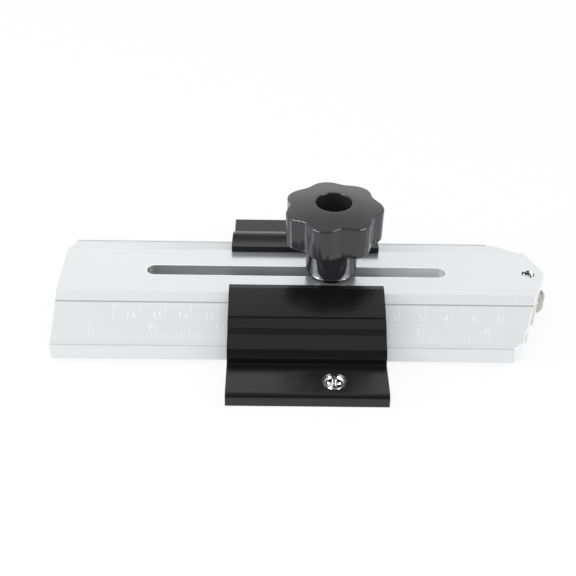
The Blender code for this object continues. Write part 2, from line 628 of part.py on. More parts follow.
def build_bearing(parts, cutters, materials):
    """The nose bearing's pieces, each about its own axis at the bearing's middle."""
    place = (BEARING_X, 0, BEARING_MIDDLE)
    half = BEARING_WIDTH / 2
    seat = half - SHIELD_SINK - SHIELD_THICKNESS - GAP
    outer = [
        (SHIELD_SEAT_RADIUS, half),
        (BEARING_RADIUS - RING_CHAMFER, half),
        (BEARING_RADIUS, half - RING_CHAMFER),
        (BEARING_RADIUS, RING_CHAMFER - half),
        (BEARING_RADIUS - RING_CHAMFER, -half),
        (SHIELD_SEAT_RADIUS, -half),
        (SHIELD_SEAT_RADIUS, -seat),
        (OUTER_SHOULDER_RADIUS, -seat),
        *reversed(race(OUTER_SHOULDER_RADIUS, True)),
        (OUTER_SHOULDER_RADIUS, seat),
        (SHIELD_SEAT_RADIUS, seat),
    ]
    turned("bearing_outer_ring", outer, True, parts, materials["bearing_steel"], place, RING_STEPS)
    inner = [
        (BEARING_BORE_RADIUS + RING_CHAMFER, half),
        (INNER_SHOULDER_RADIUS, half),
        *race(INNER_SHOULDER_RADIUS, False),
        (INNER_SHOULDER_RADIUS, -half),
        (BEARING_BORE_RADIUS + RING_CHAMFER, -half),
        (BEARING_BORE_RADIUS, RING_CHAMFER - half),
        (BEARING_BORE_RADIUS, half - RING_CHAMFER),
    ]
    turned("bearing_inner_ring", inner, True, parts, materials["bearing_steel"], place, RING_STEPS)

    shield_inner, shield_outer = INNER_SHOULDER_RADIUS + GAP, SHIELD_SEAT_RADIUS - GAP
    for side, low in (("top", half - SHIELD_SINK - SHIELD_THICKNESS), ("bottom", SHIELD_SINK - half)):
        high = low + SHIELD_THICKNESS
        shield = [(shield_inner, high), (shield_outer, high), (shield_outer, low), (shield_inner, low)]
        turned("bearing_shield_" + side, shield, True, parts, materials["bearing_steel"], place,
               RING_STEPS)

    cage_inner = BALL_PITCH_RADIUS - CAGE_THICKNESS / 2
    cage_outer = BALL_PITCH_RADIUS + CAGE_THICKNESS / 2
    ring = [(cage_inner, CAGE_RISE), (cage_outer, CAGE_RISE), (cage_outer, -CAGE_DROP),
            (cage_inner, -CAGE_DROP)]
    cage = turned("bearing_cage", ring, True, parts, materials["brass"], place, RING_STEPS)
    pocket_radius = BALL_RADIUS + GAP
    for number in range(BALL_COUNT):
        angle = 2 * math.pi * number / BALL_COUNT
        centre = (BEARING_X + BALL_PITCH_RADIUS * math.cos(angle), BALL_PITCH_RADIUS * math.sin(angle))
        aim = Matrix.Rotation(angle, 4, "Z") @ Matrix.Rotation(math.radians(90), 4, "Y")
        pocket = cylinder("cage_pocket_cutter_%d" % (number + 1), pocket_radius,
                          BEARING_MIDDLE - 2 * CAGE_THICKNESS, BEARING_MIDDLE + 2 * CAGE_THICKNESS, cutters,
                          sides=12, location=centre, turn=aim)
        cut(cage, pocket)
        mesh = bpy.data.meshes.new("bearing_ball")
        ball = bmesh.new()
        bmesh.ops.create_uvsphere(ball, u_segments=10, v_segments=6, radius=BALL_RADIUS)
        ball.to_mesh(mesh)
        ball.free()
        mesh.shade_smooth()
        add_mesh("bearing_ball_%d" % (number + 1), mesh, parts, materials["bearing_steel"],
                 (centre[0], centre[1], BEARING_MIDDLE))


def build_bearing_mount(parts, cutters, materials):
    """The screw that holds the bearing under the nose, and the bush that keeps it off the bar."""
    shank = BEARING_BORE_RADIUS - GAP
    head_low, head_high = BAR_BOTTOM, BAR_BOTTOM + BEARING_SCREW_HEAD
    tip = BAR_TOP - BEARING_SCREW_TOP_DEPTH
    profile = [
        (0, tip),
        (shank - BEARING_SCREW_TIP_CHAMFER, tip),
        (shank, tip - BEARING_SCREW_TIP_CHAMFER),
        (shank, head_high),
        (BEARING_SCREW_HEAD_RADIUS, head_high),
        (BEARING_SCREW_HEAD_RADIUS, head_low + BEARING_SCREW_HEAD_CHAMFER),
        (BEARING_SCREW_HEAD_RADIUS - BEARING_SCREW_HEAD_CHAMFER, head_low),
        (0, head_low),
    ]
    screw = turned("bearing_screw", profile, False, parts, materials["steel"], (BEARING_X, 0, 0), 24)
    recess = cylinder("hex_recess_cutter", HEX_RECESS_RADIUS, head_low - OVERCUT,
                      head_low + HEX_RECESS_DEPTH, cutters, sides=6, location=(BEARING_X, 0))
    cut(screw, recess)

    low = BEARING_BOTTOM + BEARING_WIDTH + GAP
    high = BAR_TOP - BAR_TOP_WALL - GAP
    outer = BEARING_BORE_RADIUS + SPACER_WALL
    bush = [(BEARING_BORE_RADIUS, high), (outer, high), (outer, low), (BEARING_BORE_RADIUS, low)]
    turned("bearing_spacer", bush, True, parts, materials["steel"], (BEARING_X, 0, 0), 24)


def main():
    clear_scene()
    parts = make_collection("thin_rip_jig")
    cutters = make_collection("cutters")
    materials = {
        "silver": make_material("satin_anodised_aluminium", (0.80, 0.81, 0.82), 0.35, 0.9),
        "black": make_material("black_anodised_aluminium", (0.025, 0.024, 0.025), 0.32, 0.6),
        "plastic": make_material("black_knob_plastic", (0.03, 0.03, 0.033), 0.22, 0.0),
        "steel": make_material("bright_zinc_steel", (0.68, 0.68, 0.69), 0.25, 1.0),
        "washer_steel": make_material("polished_washer_steel", (0.60, 0.60, 0.61), 0.12, 1.0),
        "bearing_steel": make_material("ground_bearing_steel", (0.62, 0.60, 0.58), 0.2, 1.0),
        "brass": make_material("turned_brass", (0.75, 0.58, 0.27), 0.3, 1.0),
    }
    build_base(parts, cutters, materials["black"])
    build_rule_bar(parts, cutters, materials["silver"])
    build_runner_screws(parts, cutters, materials["steel"])
    build_clamp(parts, materials)
    build_knob(parts, materials["plastic"])
    build_bearing(parts, cutters, materials)
    build_bearing_mount(parts, cutters, materials)


main()
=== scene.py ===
import math

import bmesh
import bpy
import numpy as np
from mathutils import Matrix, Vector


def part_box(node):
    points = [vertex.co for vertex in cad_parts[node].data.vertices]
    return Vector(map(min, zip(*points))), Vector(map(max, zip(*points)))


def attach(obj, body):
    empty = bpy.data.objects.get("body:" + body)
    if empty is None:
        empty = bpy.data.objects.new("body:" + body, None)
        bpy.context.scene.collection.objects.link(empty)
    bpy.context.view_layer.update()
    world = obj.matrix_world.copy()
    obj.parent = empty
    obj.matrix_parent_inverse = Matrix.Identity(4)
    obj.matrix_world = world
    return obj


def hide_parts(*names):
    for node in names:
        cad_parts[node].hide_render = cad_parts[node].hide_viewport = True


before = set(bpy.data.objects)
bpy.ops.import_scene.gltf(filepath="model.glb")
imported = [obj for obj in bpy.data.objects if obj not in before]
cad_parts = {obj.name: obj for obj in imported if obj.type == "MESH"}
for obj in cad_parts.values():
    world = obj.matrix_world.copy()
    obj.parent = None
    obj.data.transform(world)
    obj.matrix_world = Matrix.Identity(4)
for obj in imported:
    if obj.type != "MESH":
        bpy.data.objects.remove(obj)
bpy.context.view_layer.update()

mm = 0.001  # sizes below are in millimetres, meshes are in metres
samePlace = 0.0005  # points nearer than this are one


# Lowest and highest corner of a CAD node, in millimetres.
def cadCorners(node):
    low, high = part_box(node)
    return np.array(low) / mm, np.array(high) / mm


# Quads of a rows by columns grid whose columns close on themselves: each joins a point, the one
# below it, and the two beside those.
def gridQuads(rows, columns, wrapRows=False):
    row = np.arange(rows if wrapRows else rows - 1)
    row, column = np.meshgrid(row, np.arange(columns), indexing="ij")
    below, beside = (row + 1) % rows, (column + 1) % columns
    corners = [row * columns + column, below * columns + column,
               below * columns + beside, row * columns + beside]
    return np.stack(corners, axis=-1).reshape(-1, 4)


# Put a mesh's points at places in millimetres, one row for each.
def placePoints(mesh, points):
    mesh.vertices.foreach_set("co", (points * mm).astype(np.float32).ravel())


def pointsOf(mesh):
    points = np.empty(len(mesh.vertices) * 3, np.float32)
    mesh.vertices.foreach_get("co", points)
    return points.reshape(-1, 3).astype(float) / mm


# Mesh of points in millimetres and equal faces, one row of point numbers for each.
def newMesh(points, faces):
    mesh = bpy.data.meshes.new("made")
    mesh.vertices.add(len(points))
    placePoints(mesh, points)
    mesh.loops.add(faces.size)
    mesh.loops.foreach_set("vertex_index", faces.astype(np.int32).ravel())
    mesh.polygons.add(len(faces))
    starts = np.arange(0, faces.size, faces.shape[1], dtype=np.int32)
    mesh.polygons.foreach_set("loop_start", starts)
    mesh.update(calc_edges=True)
    return mesh


# Close seams and poles, and make flat faces whole again if a flat angle is given.
def mergeDoubles(mesh, flatAngle=None):
    work = bmesh.new()
    work.from_mesh(mesh)
    bmesh.ops.remove_doubles(work, verts=work.verts, dist=samePlace * mm)
    if flatAngle is not None:
        bmesh.ops.dissolve_limit(work, angle_limit=math.radians(flatAngle), verts=work.verts,
                                 edges=work.edges)
    work.to_mesh(mesh)
    work.free()


# A new object in the scene, at the origin, that shares its data's name.
def addObject(name, data):
    data.name = name
    made = bpy.data.objects.new(name, data)
    bpy.context.scene.collection.objects.link(made)
    return made


# Put a mesh into the scene, smooth, with its flats kept flat, riding on its body. In place of a CAD
# node its name is the node's and a word more.
def addPiece(name, mesh, material, body, node=None):
    piece = addObject("%s_%s" % (node, name) if node else name, mesh)
    mesh.materials.append(material)
    mesh.shade_smooth()
    piece.modifiers.new("flat faces stay flat", "WEIGHTED_NORMAL").weight = 50
    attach(piece, body)
    if node:
        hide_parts(node)
    return piece


# Round an outline: each corner becomes a parabola arc that starts and ends a radius away from it,
# (1-t)^2 of its start, 2t(1-t) of the corner and t^2 of its end.
def softCorners(corners, radius, steps=4, closed=True):
    corners = np.asarray(corners, float)
    before, after = (np.roll(corners, step, axis=0) - corners for step in (1, -1))
    beforeLength, afterLength = (np.linalg.norm(edge, axis=1, keepdims=True) for edge in (before, after))
    edgeShare = 0.45  # that a corner takes at most
    reach = np.minimum(radius, edgeShare * np.minimum(beforeLength, afterLength))
    t = np.linspace(0, 1, steps + 1)[:, None, None]
    start, end = corners + before / beforeLength * reach, corners + after / afterLength * reach
    arcs = (1 - t) ** 2 * start + 2 * t * (1 - t) * corners + t ** 2 * end
    if closed:
        return arcs.transpose(1, 0, 2).reshape(-1, 2)
    inner = arcs[:, 1:-1].transpose(1, 0, 2).reshape(-1, 2)
    return np.vstack([corners[:1], inner, corners[-1:]])


def roundTurn(columns):
    return np.linspace(0, 2 * math.pi, columns, endpoint=False)


# Surface of a turned piece: x = radius cos a, y = radius sin a, z = height. Radius and height are
# arrays of rows along the profile by columns round the axis, outer side downwards.
def turnedMesh(radius, height, centre=(0, 0), closed=False):
    rows, columns = radius.shape
    angle = roundTurn(columns)
    points = np.stack([radius * np.cos(angle) + centre[0], radius * np.sin(angle) + centre[1],
                       np.broadcast_to(height, radius.shape)], axis=-1)
    mesh = newMesh(points.reshape(-1, 3), gridQuads(rows, columns, wrapRows=closed))
    mergeDoubles(mesh)
    return mesh


# Rows and columns of a plain turned profile, given as (radius, height) points.
def roundProfile(profile, columns):
    profile = np.asarray(profile, float)
    return np.repeat(profile[:, :1], columns, axis=1), np.repeat(profile[:, 1:], columns, axis=1)


# A thread from high down to low: radius = major - depth x groove, where groove is a clipped
# triangle wave of height / pitch - angle / full turn. Both ends run into a 45 degree point.
def threadRows(low, high, majorRadius, pitch, columns, pointRadius, rowsPerTurn=10):
    depth = 0.61 * pitch
    crest, flank = 0.15, 0.65  # shares of half a pitch
    height = np.linspace(high, low, int((high - low) / pitch * rowsPerTurn) + 1)[:, None]
    angle = np.linspace(0, 1, columns, endpoint=False)[None, :]
    wave = np.abs(((height / pitch - angle) % 1) - 0.5) * 2
    radius = majorRadius - depth * np.clip((wave - crest) / flank, 0, 1)
    endLimit = pointRadius + np.minimum(height - low, high - height)
    return np.minimum(radius, endLimit), np.broadcast_to(height, radius.shape)


# Join (radius, height) row blocks into one surface, end to end.
def stackRows(*parts):
    return np.vstack([part[0] for part in parts]), np.vstack([part[1] for part in parts])


# shader nodes

# Add a shader node. Inputs are values or sockets, by name or number.
def addNode(tree, kind, inputs=None, **settings):
    made = tree.nodes.new("ShaderNode" + kind)
    for key, value in settings.items():
        setattr(made, key, value)
    for key, value in (inputs or {}).items():
        if isinstance(value, bpy.types.NodeSocket):
            tree.links.new(value, made.inputs[key])
        else:
            made.inputs[key].default_value = value
    return made


def maths(tree, operation, *values):
    return addNode(tree, "Math", dict(enumerate(values)), operation=operation).outputs[0]


def times(tree, first, second):
    return maths(tree, "MULTIPLY", first, second)


def minus(tree, first, second):
    return maths(tree, "SUBTRACT", first, second)


def added(tree, *values):
    total = values[0]
    for value in values[1:]:
        total = maths(tree, "ADD", total, value)
    return total


# Root of the sum of two squares.
def lengthOf(tree, first, second):
    return maths(tree, "SQRT", added(tree, times(tree, first, first), times(tree, second, second)))


# Value mapped from one range to another, held at its ends.
def scaled(tree, value, fromLow, fromHigh, toLow=0.0, toHigh=1.0):
    inputs = {"Value": value, "From Min": fromLow, "From Max": fromHigh, "To Min": toLow, "To Max": toHigh}
    return addNode(tree, "MapRange", inputs).outputs["Result"]


# 1 where a distance in metres is less than an edge in millimetres, and 0 past its soft border.
def within(tree, distance, edge, border):
    return scaled(tree, distance, edge * mm, (edge + border) * mm, 1.0, 0.0)


def axesOf(tree, vector):
    return addNode(tree, "SeparateXYZ", {0: vector}).outputs


# Object coordinates, in metres.
def placeOn(tree):
    return addNode(tree, "TexCoord").outputs["Object"]


def normalOf(tree, kind="Normal"):
    return addNode(tree, "NewGeometry").outputs[kind]


def dotOf(tree, first, second):
    return addNode(tree, "VectorMath", {0: first, 1: second}, operation="DOT_PRODUCT").outputs["Value"]


# An empty node group with named inputs and one number output.
def newGroup(name, inputs, output):
    group = bpy.data.node_groups.new(name, "ShaderNodeTree")
    for title, default in inputs.items():
        kind = "NodeSocketVector" if isinstance(default, tuple) else "NodeSocketFloat"
        group.interface.new_socket(title, in_out="INPUT", socket_type=kind).default_value = default
    group.interface.new_socket(output, in_out="OUTPUT", socket_type="NodeSocketFloat")
    return group, group.nodes.new("NodeGroupInput").outputs, group.nodes.new("NodeGroupOutput").inputs


# Noise on object coordinates, with features of a size in millimetres, stretched along each axis.
def objectNoise(tree, size, detail=2.0, roughness=0.5, scale=(1.0, 1.0, 1.0)):
    mapping = addNode(tree, "Mapping", {"Vector": placeOn(tree), "Scale": scale})
    noise = addNode(tree, "TexNoise", {"Vector": mapping.outputs[0], "Scale": 1 / (size * mm),
                                       "Detail": detail, "Roughness": roughness})
    return noise.outputs["Fac"]


# Send a group's noise out, even about zero and times its contrast.
def sendOut(group, given, result, noise):
    group.links.new(times(group, minus(group, noise, 0.5), given["Contrast"]), result[0])
    return group


# Die lines of an extrusion: noise stretched a hundredfold along X.
def makeDrawnLines():
    group, given, result = newGroup("drawnLines", {"Contrast": 1.0}, "Lines")
    fine = objectNoise(group, 0.35, detail=3.0, scale=(0.012, 1.0, 1.0))
    broad = objectNoise(group, 2.5, scale=(0.008, 1.0, 1.0))
    return sendOut(group, given, result, added(group, times(group, fine, 0.6), times(group, broad, 0.4)))


# Even grain of a blasted, anodised or moulded skin, about zero.
def makeFineGrain():
    group, given, result = newGroup("fineGrain", {"Size": 0.12, "Contrast": 1.0}, "Grain")
    frequency = maths(group, "DIVIDE", 1 / mm, given["Size"])
    noise = addNode(group, "TexNoise", {"Vector": placeOn(group), "Scale": frequency, "Detail": 2.0})
    return sendOut(group, given, result, noise.outputs["Fac"])


# Tool rings about an upright axis: noise read by the distance from a centre, and by height.
def makeTurnedRings():
    group, given, result = newGroup("turnedRings", {"Centre": (0.0, 0.0, 0.0), "Contrast": 1.0}, "Rings")
    ringWidth = 0.16
    offset = addNode(group, "VectorMath", {0: placeOn(group), 1: given["Centre"]}, operation="SUBTRACT")
    x, y, z = axesOf(group, offset.outputs[0])
    polar = addNode(group, "CombineXYZ", {"X": lengthOf(group, x, y), "Z": z}).outputs[0]
    noise = addNode(group, "TexNoise", {"Vector": polar, "Scale": 1 / (ringWidth * mm), "Detail": 3.0})
    return sendOut(group, given, result, noise.outputs["Fac"])


# Soft patches left by hands and cloths: broad noise about zero.
def makeHandledHaze():
    group, given, result = newGroup("handledHaze", {"Contrast": 1.0}, "Haze")
    return sendOut(group, given, result, objectNoise(group, 22.0, detail=4.0, roughness=0.6))


# Mask of rubbed edges, and on the black anodising of painted edge highlights: how far the shading turns
# away from the surface within a small radius.
def makeRubbedEdges():
    group, given, result = newGroup("rubbedEdges", {"Width": 0.3, "Contrast": 1.0}, "Mask")
    radius = times(group, given["Width"], mm)
    bevelled = addNode(group, "Bevel", {"Radius": radius}, samples=4).outputs["Normal"]
    turned = minus(group, 1.0, dotOf(group, bevelled, normalOf(group)))
    broken = scaled(group, objectNoise(group, 1.1, detail=3.0), 0.35, 0.65, 0.4)
    amount = times(group, times(group, turned, broken), given["Contrast"])
    group.links.new(maths(group, "MINIMUM", amount, 1.0), result[0])
    return group


drawnLines = makeDrawnLines()
fineGrain = makeFineGrain()
turnedRings = makeTurnedRings()
handledHaze = makeHandledHaze()
rubbedEdges = makeRubbedEdges()
print("shader groups made:", len(bpy.data.node_groups))


def useGroup(tree, group, **inputs):
    return addNode(tree, "Group", inputs, node_tree=group).outputs[0]


# A Principled material, its node tree and its shader.
def newMaterial(name, roughness, metallic=0.0, specular=0.5):
    material = bpy.data.materials.new(name)
    material.use_nodes = True
    shader = material.node_tree.nodes["Principled BSDF"]
    values = {"Roughness": roughness, "Metallic": metallic, "Specular IOR Level": specular, "IOR": 1.5}
    for title, value in values.items():
        shader.inputs[title].default_value = value
    return material, material.node_tree, shader


def feed(shader, title, socket):
    shader.id_data.links.new(socket, shader.inputs[title])


# A colour made lighter or darker by a value about zero.
def tinted(tree, colour, amount):
    factor = added(tree, amount, 1.0)
    return addNode(tree, "VectorMath", {0: colour, "Scale": factor}, operation="SCALE").outputs[0]


# A socket's colour or three numbers, with another colour of three numbers over it by a mask.
def layered(tree, mask, under, over):
    if not isinstance(under, bpy.types.NodeSocket):
        under = (*under, 1)
    inputs = {"Factor": mask, "A": under, "B": (*over, 1)}
    return addNode(tree, "Mix", inputs, data_type="RGBA").outputs["Result"]


# Bump of a height about zero, as deep as a distance in millimetres.
def bumped(tree, shader, height, distance):
    bump = addNode(tree, "Bump", {"Height": height, "Distance": distance * mm, "Strength": 1.0})
    feed(shader, "Normal", bump.outputs["Normal"])


# 1 on faces sawn or milled across the extrusion, which look along X, and 0 on drawn faces.
def cutFaceMask(tree):
    return scaled(tree, maths(tree, "ABSOLUTE", axesOf(tree, normalOf(tree))["X"]), 0.25, 0.5)


# Marks of the saw on those faces, about zero: noise stretched along Y.
def sawMarks(tree, cut, size):
    noise = objectNoise(tree, size, detail=3.0, scale=(1.0, 0.03, 1.0))
    return times(tree, minus(tree, noise, 0.5), cut)


silverFinish = {
    "colour": (0.80, 0.81, 0.83),
    "panelColour": (0.752, 0.757, 0.772),  # the blasted panel that carries the scales
    "edgeColourAndHighlight": (0.98, 0.985, 0.99),  # the slot's milled edges: bare metal, lightened further as a painted highlight
    "cutShare": 0.7,  # of that colour, painted highlight included, on the milled end faces
    "slotEdge": (3.3, 0.42, 0.06),  # from the slot's middle line, width, soft border
    "slotEnds": (42.6, -69.9),  # X of the middles of its round ends
    "paintedWallShade": (0.62, 0.0),  # painted shade on the slot's wall, towards its left and right end
    "wallReach": (0.08, 0.04),  # how far out a wall counts, and its border
    "roughness": 0.34,
    "panelRoughness": 0.55,
    "metallic": 0.3,
    "topMetallic": 0.7,  # of the drawn top, brighter than the blasted slopes
    "topRoughness": 0.24,
    "boreRadius": 3.2,  # the nose's bore is bare and shiny out to here
    "boreRoughness": 0.12,
    "panelLean": 23.15,  # degrees
    # cosines from which a face starts to count as one of these, and at which it does in full
    "panelCosines": (0.999, 0.9996),
    "levelCosines": (0.99, 0.998),
    "upCosines": (0.2, 0.5),
    "cutRoughness": -0.08,  # added on the milled end faces
    "hazeRoughness": 2.0,  # share of the haze
    # painted shade lines along the bar, near the panel's upper and lower edges: out from the axis, half
    # width, darkening
    "shadeLineBorder": 0.08,
    "lines": ((18.85, 0.17, 0.44), (35.2, 0.12, 0.06), (36.55, 0.28, 0.17)),
}


def makeClearAnodised(look):
    material, tree, shader = newMaterial("clearAnodised", look["roughness"], look["metallic"])
    lines = useGroup(tree, drawnLines, Contrast=0.03)
    grain = useGroup(tree, fineGrain, Size=0.16, Contrast=0.035)
    haze = useGroup(tree, handledHaze, Contrast=0.03)
    cut = cutFaceMask(tree)
    x, y, _ = axesOf(tree, placeOn(tree))
    out = maths(tree, "ABSOLUTE", y)

    # masks by where a face looks: as the front panel leans, level, or more up than to a side
    normal = normalOf(tree, "True Normal")
    lean = math.radians(look["panelLean"])
    facing = dotOf(tree, normal, (0.0, -math.sin(lean), math.cos(lean)))
    panel = scaled(tree, facing, *look["panelCosines"])
    up = axesOf(tree, normal)["Z"]
    level = scaled(tree, up, *look["levelCosines"])
    looksUp = scaled(tree, up, *look["upCosines"])
    upright = minus(tree, 1.0, looksUp)

    # masks by the distance from the slot's middle line and from the nose's bore
    right, left = look["slotEnds"]
    past = maths(tree, "MAXIMUM", minus(tree, x, right * mm), minus(tree, left * mm, x))
    away = lengthOf(tree, maths(tree, "MAXIMUM", past, 0.0), out)
    radius, width, border = look["slotEdge"]
    slotRim = times(tree, within(tree, away, radius + width, border), looksUp)
    milled = maths(tree, "MAXIMUM", slotRim, times(tree, cut, look["cutShare"]))
    reach, border = look["wallReach"]
    inWall = times(tree, within(tree, away, radius + reach, border), upright)
    paintedWallShade = scaled(tree, x, left * mm, right * mm, *look["paintedWallShade"])
    fromBore = lengthOf(tree, minus(tree, x, bearingCentre[0] * mm), out)
    bored = times(tree, maths(tree, "LESS_THAN", fromBore, look["boreRadius"] * mm), upright)

    blasted = times(tree, panel, useGroup(tree, fineGrain, Size=0.45, Contrast=0.1))
    # the skin's own texture, less the painted shade on the slot's wall
    shade = minus(tree, added(tree, lines, grain, haze, blasted), times(tree, inWall, paintedWallShade))
    # painted shade: the colour is darkened along each of those lines
    for distance, halfWidth, darkening in look["lines"]:
        offset = maths(tree, "ABSOLUTE", minus(tree, out, distance * mm))
        line = within(tree, offset, halfWidth, look["shadeLineBorder"])
        shade = minus(tree, shade, times(tree, line, darkening))
    colour = layered(tree, panel, look["colour"], look["panelColour"])
    # bare milled edges and end faces, lightened to a painted highlight
    colour = layered(tree, milled, colour, look["edgeColourAndHighlight"])
    feed(shader, "Base Color", tinted(tree, colour, shade))
    metallic = scaled(tree, level, 0.0, 1.0, look["metallic"], look["topMetallic"])
    feed(shader, "Metallic", maths(tree, "MAXIMUM", metallic, bored))
    rough = scaled(tree, panel, 0.0, 1.0, look["roughness"], look["panelRoughness"])
    onTop = times(tree, level, look["topRoughness"] - look["roughness"])
    inBore = times(tree, bored, look["boreRoughness"] - look["roughness"])
    hazed, onCut = times(tree, haze, look["hazeRoughness"]), times(tree, cut, look["cutRoughness"])
    feed(shader, "Roughness", added(tree, rough, onTop, inBore, hazed, onCut))
    sawn = times(tree, sawMarks(tree, cut, 0.25), 0.2)
    bumped(tree, shader, added(tree, lines, grain, blasted, sawn), 0.02)
    return material


blackFinish = {
    "colour": (0.0072, 0.0066, 0.0069),
    # edges lighter by wear, and by a painted highlight along the jaws' edges
    "rubbed": (0.05, 0.05, 0.052),
    "bare": (0.48, 0.48, 0.49),  # the countersinks, cut after the anodising
    "bareRoughness": -0.16,  # added there
    "sinkRadius": 3.95,
    "sinkCosine": 0.707,  # of their cones' lean
    "sinkOff": (0.1, 0.15),  # off it, where they start to end and where they have ended
    "roughness": 0.23,
    "cutRoughness": 0.06,  # added on the sawn end faces
}


# 1 on the cones of the two countersinks, which lean by 45 degrees, and 0 elsewhere.
def sinkMask(tree, look):
    x, y, _ = axesOf(tree, placeOn(tree))
    out = minus(tree, maths(tree, "ABSOLUTE", y), abs(screwY) * mm)
    inside = within(tree, lengthOf(tree, x, out), look["sinkRadius"], 0.05)
    offLean = maths(tree, "ABSOLUTE", minus(tree, axesOf(tree, normalOf(tree))["Z"], look["sinkCosine"]))
    return times(tree, inside, scaled(tree, offLean, *look["sinkOff"], 1.0, 0.0))


def makeBlackAnodised(look):
    material, tree, shader = newMaterial("blackAnodised", look["roughness"])
    lines = useGroup(tree, drawnLines, Contrast=0.5)
    grain = useGroup(tree, fineGrain, Size=0.1, Contrast=0.3)
    haze = useGroup(tree, handledHaze, Contrast=0.1)
    # rubbed edges: wear, and a painted edge highlight
    edges = useGroup(tree, rubbedEdges, Width=0.2, Contrast=0.25)
    cut, bare = cutFaceMask(tree), sinkMask(tree, look)
    skin = layered(tree, edges, tinted(tree, look["colour"], added(tree, lines, grain)), look["rubbed"])
    feed(shader, "Base Color", layered(tree, bare, skin, look["bare"]))
    feed(shader, "Metallic", bare)
    feed(shader, "Roughness", added(tree, look["roughness"], times(tree, lines, 0.1), haze,
                                    times(tree, cut, look["cutRoughness"]),
                                    times(tree, bare, look["bareRoughness"])))
    bumped(tree, shader, added(tree, times(tree, lines, 0.5), times(tree, grain, 0.4),
                               sawMarks(tree, cut, 0.2)), 0.012)
    return material


plasticFinish = {
    "colour": (0.029, 0.029, 0.031),
    "rubbed": (0.04, 0.04, 0.045),
    "roughness": 0.07,
    "specular": 0.55,
}


def makeKnobPlastic(look):
    material, tree, shader = newMaterial("knobPlastic", look["roughness"], 0.0, look["specular"])
    grain = useGroup(tree, fineGrain, Size=0.5, Contrast=0.5)
    haze = useGroup(tree, handledHaze, Contrast=0.1)
    edges = useGroup(tree, rubbedEdges, Width=0.3, Contrast=0.3)
    feed(shader, "Base Color", layered(tree, edges, tinted(tree, look["colour"], haze), look["rubbed"]))
    feed(shader, "Roughness", added(tree, look["roughness"], haze))
    bumped(tree, shader, grain, 0.004)
    return material


# Steel or brass turned or ground about an upright axis, with its tool rings. Below a height it may be
# painted dark, to a share of its colour: painted shade and dark reflection.
def makeTurnedMetal(name, colour, roughness, centre, rings=0.3, paintedShadeBelow=None):
    material, tree, shader = newMaterial(name, roughness, metallic=1.0)
    marks = useGroup(tree, turnedRings, Centre=(centre[0] * mm, centre[1] * mm, 0.0), Contrast=rings)
    haze = useGroup(tree, handledHaze, Contrast=0.1)
    shade = times(tree, marks, 0.4)
    if paintedShadeBelow:
        (low, high), share = paintedShadeBelow
        height = axesOf(tree, placeOn(tree))["Z"]
        shade = added(tree, shade, scaled(tree, height, low * mm, high * mm, share - 1, 0.0))
    feed(shader, "Base Color", tinted(tree, colour, shade))
    feed(shader, "Roughness", added(tree, roughness, times(tree, marks, 0.3), haze))
    bumped(tree, shader, marks, 0.01)
    return material


# Laser-whitened marks, matt and slightly uneven.
def makeMarkInk(colour):
    material, tree, shader = newMaterial("whiteMarks", 0.6)
    grain = useGroup(tree, fineGrain, Size=0.2, Contrast=0.1)
    feed(shader, "Base Color", tinted(tree, colour, grain))
    bumped(tree, shader, grain, 0.005)
    return material


screwLow, screwHigh = cadCorners("front_screw")
screwY = (screwLow[1] + screwHigh[1]) / 2
bearingLow, bearingHigh = cadCorners("bearing_outer_ring")
bearingCentre = (bearingLow + bearingHigh) / 2
washerTop = cadCorners("clamp_washer")[1][2]

clearAnodised = makeClearAnodised(silverFinish)
blackAnodised = makeBlackAnodised(blackFinish)
knobPlastic = makeKnobPlastic(plasticFinish)
whiteMarks = makeMarkInk((0.87, 0.875, 0.88))

metalFinishes = {
    # colour, roughness, centre and contrast of the tool rings; painted shade between heights, to a share
    "brightZincFront": ((0.78, 0.78, 0.79), 0.1, (0, screwY), 0.12),
    "brightZincRear": ((0.78, 0.78, 0.79), 0.1, (0, -screwY), 0.12),
    "brightZincStud": ((0.72, 0.72, 0.73), 0.25, (0, 0)),
    # the washer's side is painted dark: a painted dark reflection of the black jaw
    "polishedWasher": ((0.8, 0.8, 0.81), 0.1, (0, 0), 0.15, ((washerTop - 0.6, washerTop - 0.4), 0.015)),
    "groundBearingSteel": ((0.5, 0.475, 0.45), 0.14, bearingCentre),
    "brightZincNose": ((0.74, 0.73, 0.72), 0.22, bearingCentre),
    "cageBrass": ((0.76, 0.58, 0.28), 0.25, bearingCentre),
    "insertBrass": ((0.74, 0.57, 0.27), 0.3, (0, 0)),
}
metals = {name: makeTurnedMetal(name, *look) for name, look in metalFinishes.items()}
print("materials made:", len(bpy.data.materials))


# extruded base and bar: the CAD forms with their fine burr-free edges

extrusionEdges = {
    "width": 0.14,  # of the small break on each sharp edge
    "segments": 2,
    "sharperThan": 31.0,  # degrees between two faces
    "parted": (18.7,),  # out from the axis, where the jaws get one more edge
    # out from the axis (low, high), height (low, high) and how far points of the section there go down
    "lowered": (((42.9, 43.45), (9.1, 10.0), 1.5), ((29.7, 30.1), (16.2, 17.0), 0.55),
                ((18.65, 18.75), (20.0, 20.3), -0.1)),
}
barEdges = dict(extrusionEdges, parted=(), lowered=())


# Cut a mesh by planes along X at distances on both sides of the axis, so that it gets edges there.
def partMesh(mesh, distances):
    work = bmesh.new()
    work.from_mesh(mesh)
    for distance in [side * distance for distance in distances for side in (-1, 1)]:
        bmesh.ops.bisect_plane(work, geom=work.verts[:] + work.edges[:] + work.faces[:],
                               plane_co=(0, distance * mm, 0), plane_no=(0, 1, 0))
    work.to_mesh(mesh)
    work.free()


